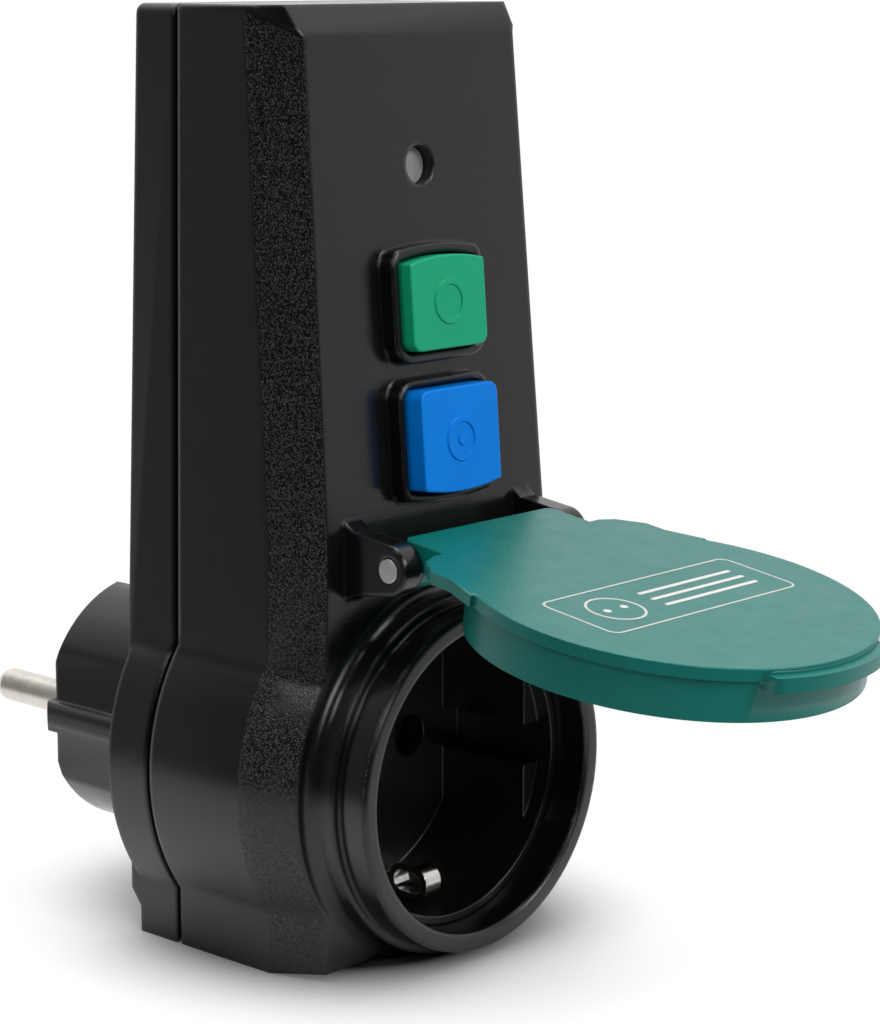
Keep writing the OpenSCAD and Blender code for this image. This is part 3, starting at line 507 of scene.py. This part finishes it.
def new_piece(name, bm, body, slot, stands_for=()):
    """Turns a bmesh into a piece that rides on a body, with a slot's material."""
    mesh = bpy.data.meshes.new(name)
    bm.to_mesh(mesh)
    bm.free()
    mesh.materials.append(materials[slot])
    mesh.shade_smooth()
    mesh.set_sharp_from_angle(angle=SHARP_TURN)
    piece = bpy.data.objects.new(name, mesh)
    scene.collection.objects.link(piece)
    even = piece.modifiers.new("even_normals", "WEIGHTED_NORMAL")
    even.keep_sharp = True
    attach(piece, body)
    if stands_for:
        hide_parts(*stands_for)
    return piece


def softened(name, rounds, reshape=None):
    """A copy of a node with chosen edges rounded, which stands for the node."""
    bm = bmesh.new()
    bm.from_mesh(frame["nodes"][name].data)
    bmesh.ops.remove_doubles(bm, verts=bm.verts, dist=WELD)
    bmesh.ops.dissolve_limit(bm, angle_limit=FLAT_TURN, verts=bm.verts, edges=bm.edges)
    if reshape:
        reshape(bm)
    for chosen, radius, segments in rounds:
        edges = [e for e in bm.edges if len(e.link_faces) == 2 and chosen(e)]
        bmesh.ops.bevel(bm, geom=edges, offset=radius, offset_type="OFFSET", segments=segments,
                        profile=ARC_PROFILE, affect="EDGES", clamp_overlap=True)
    return new_piece(name + "_soft", bm, body_of[name], slot_of[name], (name,))


def shortening_spring(name):
    """A copy of a button's return spring, with a mesh of its own, which stands for the node."""
    spring = softened(name, [])
    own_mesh(spring)


for button in ("reset_button", "test_button"):
    softened(button, [(on_plane(FACE_OUT, reach_of(button, FACE_OUT)), *BUTTON_ROUND)])
softened("lid", [(on_plane(LID_OUT, reach_of("lid", LID_OUT)), *LID_ROUND)])
softened("rear_housing", [
    (top_corner, *CORNER_ROUND),
    (on_plane(OUTWARD, REAR_PLANE), *REAR_ROUND)])
softened("front_housing", [
    (on_plane(OUTWARD, LIP_DEPTH), *LIP_ROUND),
    (on_plane(OUTWARD, SHOULDER_DEPTH), *SHOULDER_ROUND),
    (on_plane(FACE_OUT, FACE_FOOT.dot(FACE_OUT) + FRAME_HEIGHT), *FRAME_ROUND),
    (on_plane(SIDEWAYS, EAR_OUT), *EAR_ROUND),
    (on_plane(SIDEWAYS, -EAR_OUT), *EAR_ROUND),
    (top_corner, *CORNER_ROUND)], flank_step)
shortening_spring("reset_spring")
shortening_spring("test_spring")


# Raised and printed marks without words


def circle_loop(centre, radius, steps=48):
    """The points of a circle."""
    return [(centre[0] + radius * math.cos(2 * math.pi * i / steps),
             centre[1] + radius * math.sin(2 * math.pi * i / steps)) for i in range(steps)]


def panel_loop(half_w, half_h, corner, steps=8):
    """The points of a rounded rectangle about the origin."""
    loop = []
    for k, (sx, sy) in enumerate(((1, 1), (-1, 1), (-1, -1), (1, -1))):
        for i in range(steps + 1):
            angle = math.pi / 2 * (k + i / steps)
            loop.append((sx * (half_w - corner) + corner * math.cos(angle),
                         sy * (half_h - corner) + corner * math.sin(angle)))
    return loop


def raise_mark(bm, place, outer, inner, height, edge):
    """Adds a flat mark with a sloping edge: a band between two loops, or a whole area."""
    def ring(loop, grow, level):
        cx = sum(q[0] for q in loop) / len(loop)
        cy = sum(q[1] for q in loop) / len(loop)
        out = []
        for x, y in loop:
            away = Vector((x - cx, y - cy)).normalized() * grow
            out.append(bm.verts.new(place(x + away.x, y + away.y, level)))
        return out

    def join(lower, upper):
        for i in range(len(lower)):
            j = (i + 1) % len(lower)
            bm.faces.new((lower[i], lower[j], upper[j], upper[i]))

    foot = ring(outer, edge, 0)
    top = ring(outer, 0, height)
    join(foot, top)
    if inner is None:
        bm.faces.new(top)
        bm.faces.new(list(reversed(foot)))
        return
    inner_top = ring(inner, 0, height)
    inner_foot = ring(inner, -edge, 0)
    join(top, inner_top)
    join(inner_top, inner_foot)
    join(inner_foot, foot)


def button_place(name):
    """Maps a point on a button's face, from its middle and in millimetres, to space."""
    cap = [v.co for v in frame["nodes"][name].data.vertices
           if v.co.dot(FACE_OUT) > reach_of(name, FACE_OUT) - FLAT]
    middle = (max(c.dot(FACE_UP) for c in cap) + min(c.dot(FACE_UP) for c in cap)) / 2
    base = FACE_UP * middle + FACE_OUT * reach_of(name, FACE_OUT)
    return lambda x, y, h: SIDEWAYS * (x * MM) + base + FACE_UP * (y * MM) + FACE_OUT * (h * MM)


def lid_place(x, y, h):
    """Maps a point on the lid's face, from its plate's middle and in millimetres, to space."""
    level = reach_of("lid", LID_OUT) - HINGE.dot(LID_OUT)
    across = SIDEWAYS * (x * MM)
    return HINGE + across + LID_AWAY * (LID_MIDDLE - y * MM) + LID_OUT * (level + h * MM)


def make_button_mark(name, button, body, slot, dotted):
    """A raised ring on a button, with or without a dot in it."""
    bm = bmesh.new()
    place = button_place(button)
    outer, inner = (circle_loop((0, 0), radius) for radius in BUTTON_RING)
    raise_mark(bm, place, outer, inner, *RAISED)
    if dotted:
        raise_mark(bm, place, circle_loop((0, 0), *BUTTON_DOT), None, *RAISED)
    new_piece(name, bm, body, slot)


def make_lid_print():
    """A printed panel on the lid: an outline, a ring with two dots, and three bars."""
    bm = bmesh.new()
    raise_mark(bm, lid_place, panel_loop(*PANEL_OUTER), panel_loop(*PANEL_INNER), *PRINTED)
    outer, inner = (circle_loop(LID_RING_AT, radius) for radius in LID_RING)
    raise_mark(bm, lid_place, outer, inner, *PRINTED)
    for x in LID_DOTS_X:
        raise_mark(bm, lid_place, circle_loop((x, 0), *LID_DOT), None, *PRINTED)
    for y in LID_BARS_Y:
        bar = [(q[0] + LID_BARS_X, q[1] + y) for q in panel_loop(*LID_BAR)]
        raise_mark(bm, lid_place, bar, None, *PRINTED)
    new_piece("lid_print", bm, "lid_body", "pale_plastic")


make_button_mark("reset_mark", "reset_button", "reset_body", "reset_green", False)
make_button_mark("test_mark", "test_button", "test_body", "test_blue", True)
make_lid_print()


# Camera, floor, world and lamps


def make_camera():
    """The camera, which looks along its yaw and pitch."""
    data = bpy.data.cameras.new("camera")
    camera = bpy.data.objects.new("camera", data)
    scene.collection.objects.link(camera)
    level = math.cos(CAMERA_PITCH)
    forward = Vector((math.sin(CAMERA_YAW) * level, math.cos(CAMERA_YAW) * level,
                      -math.sin(CAMERA_PITCH)))
    camera.location = CAMERA_PLACE
    camera.rotation_euler = forward.to_track_quat("-Z", "Y").to_euler()
    data.lens = CAMERA_LENS
    data.sensor_width = SENSOR_WIDTH
    data.clip_start = CLIP_START
    scene.camera = camera


def floor_material():
    """White matt floor that takes the object's shadow and a painted shade, and fades into the
    surroundings.
    """
    material, tree, output = blank_material("floor")
    matt = tree.nodes.new("ShaderNodeBsdfDiffuse")
    # Painted shade: ambient occlusion darkens the floor's own colour round the foot
    near = add(tree, "ShaderNodeAmbientOcclusion", samples=PAINTED_SHADE_SAMPLES,
               Distance=PAINTED_SHADE_REACH)
    painted_shade_mix = math_node(tree, "POWER", near.outputs["AO"], PAINTED_SHADE_CURVE)
    tree.links.new(mix_colour(tree, painted_shade_mix, *FLOOR_AND_PAINTED_SHADE_TONES), matt.inputs["Color"])
    clear = tree.nodes.new("ShaderNodeBsdfTransparent")
    reach = vector_node(tree, "LENGTH", object_space(tree)).outputs["Value"]
    glow = add(tree, "ShaderNodeEmission", Color=WHITE, Strength=1.0)
    shaded = mix_shader(tree, ramp(tree, reach, *SHADOW_FADE), matt, glow)
    both = mix_shader(tree, ramp(tree, reach, *FLOOR_FADE), shaded, clear)
    tree.links.new(both.outputs[0], output.inputs["Surface"])
    return material


def make_floor():
    """A round floor just below the sole."""
    mesh = bpy.data.meshes.new("floor")
    bm = bmesh.new()
    bmesh.ops.create_circle(bm, cap_ends=True, segments=FLOOR_SIDES, radius=FLOOR_FADE[1])
    bm.to_mesh(mesh)
    bm.free()
    floor = bpy.data.objects.new("floor", mesh)
    floor.location = (*FOOT_MIDDLE, SOLE_Z - FLOOR_GAP)
    scene.collection.objects.link(floor)
    floor.data.materials.append(floor_material())


def make_world():
    """White surroundings, which reflections see fall to dark on the near left."""
    world = bpy.data.worlds.new("studio")
    scene.world = world
    world.use_nodes = True
    tree = world.node_tree
    tree.nodes.clear()
    output = tree.nodes.new("ShaderNodeOutputWorld")
    direction = tree.nodes.new("ShaderNodeTexCoord").outputs["Generated"]
    level = vector_node(tree, "MULTIPLY", direction, (1, 1, 0))
    flat = vector_node(tree, "NORMALIZE", level.outputs["Vector"])
    facing = vector_node(tree, "DOT_PRODUCT", flat.outputs["Vector"],
                         (math.sin(BRIGHT_YAW), math.cos(BRIGHT_YAW), 0))
    fade = ramp(tree, facing.outputs["Value"], *MIRROR_FADE)
    rise = math_node(tree, "POWER", fade, MIRROR_CURVE)
    white = add(tree, "ShaderNodeBackground", Color=WHITE)
    rays = tree.nodes.new("ShaderNodeLightPath").outputs
    direct = math_node(tree, "MAXIMUM", rays["Is Camera Ray"], rays["Is Transmission Ray"])
    mirrored = ramp(tree, rise, 0, 1, BACK_DARK, 1.0)
    strength = math_node(tree, "MAXIMUM", direct, mirrored)
    tree.links.new(strength, white.inputs["Strength"])
    soft = add(tree, "ShaderNodeBackground", Color=WHITE, Strength=SOFT_LIGHT)
    seen = math_node(tree, "MAXIMUM", direct, rays["Is Glossy Ray"])
    both = mix_shader(tree, seen, soft, white)
    tree.links.new(both.outputs[0], output.inputs["Surface"])


def add_lamp(name, where, target, side, power):
    """A square soft lamp that faces a target."""
    data = bpy.data.lights.new(name, "AREA")
    data.shape = "RECTANGLE"
    data.size = data.size_y = side
    data.energy = power
    lamp = bpy.data.objects.new(name, data)
    lamp.location = where
    lamp.rotation_euler = (Vector(target) - Vector(where)).to_track_quat("-Z", "Y").to_euler()
    scene.collection.objects.link(lamp)


make_camera()
make_floor()
make_world()
for lamp_values in LAMPS:
    add_lamp(*lamp_values)
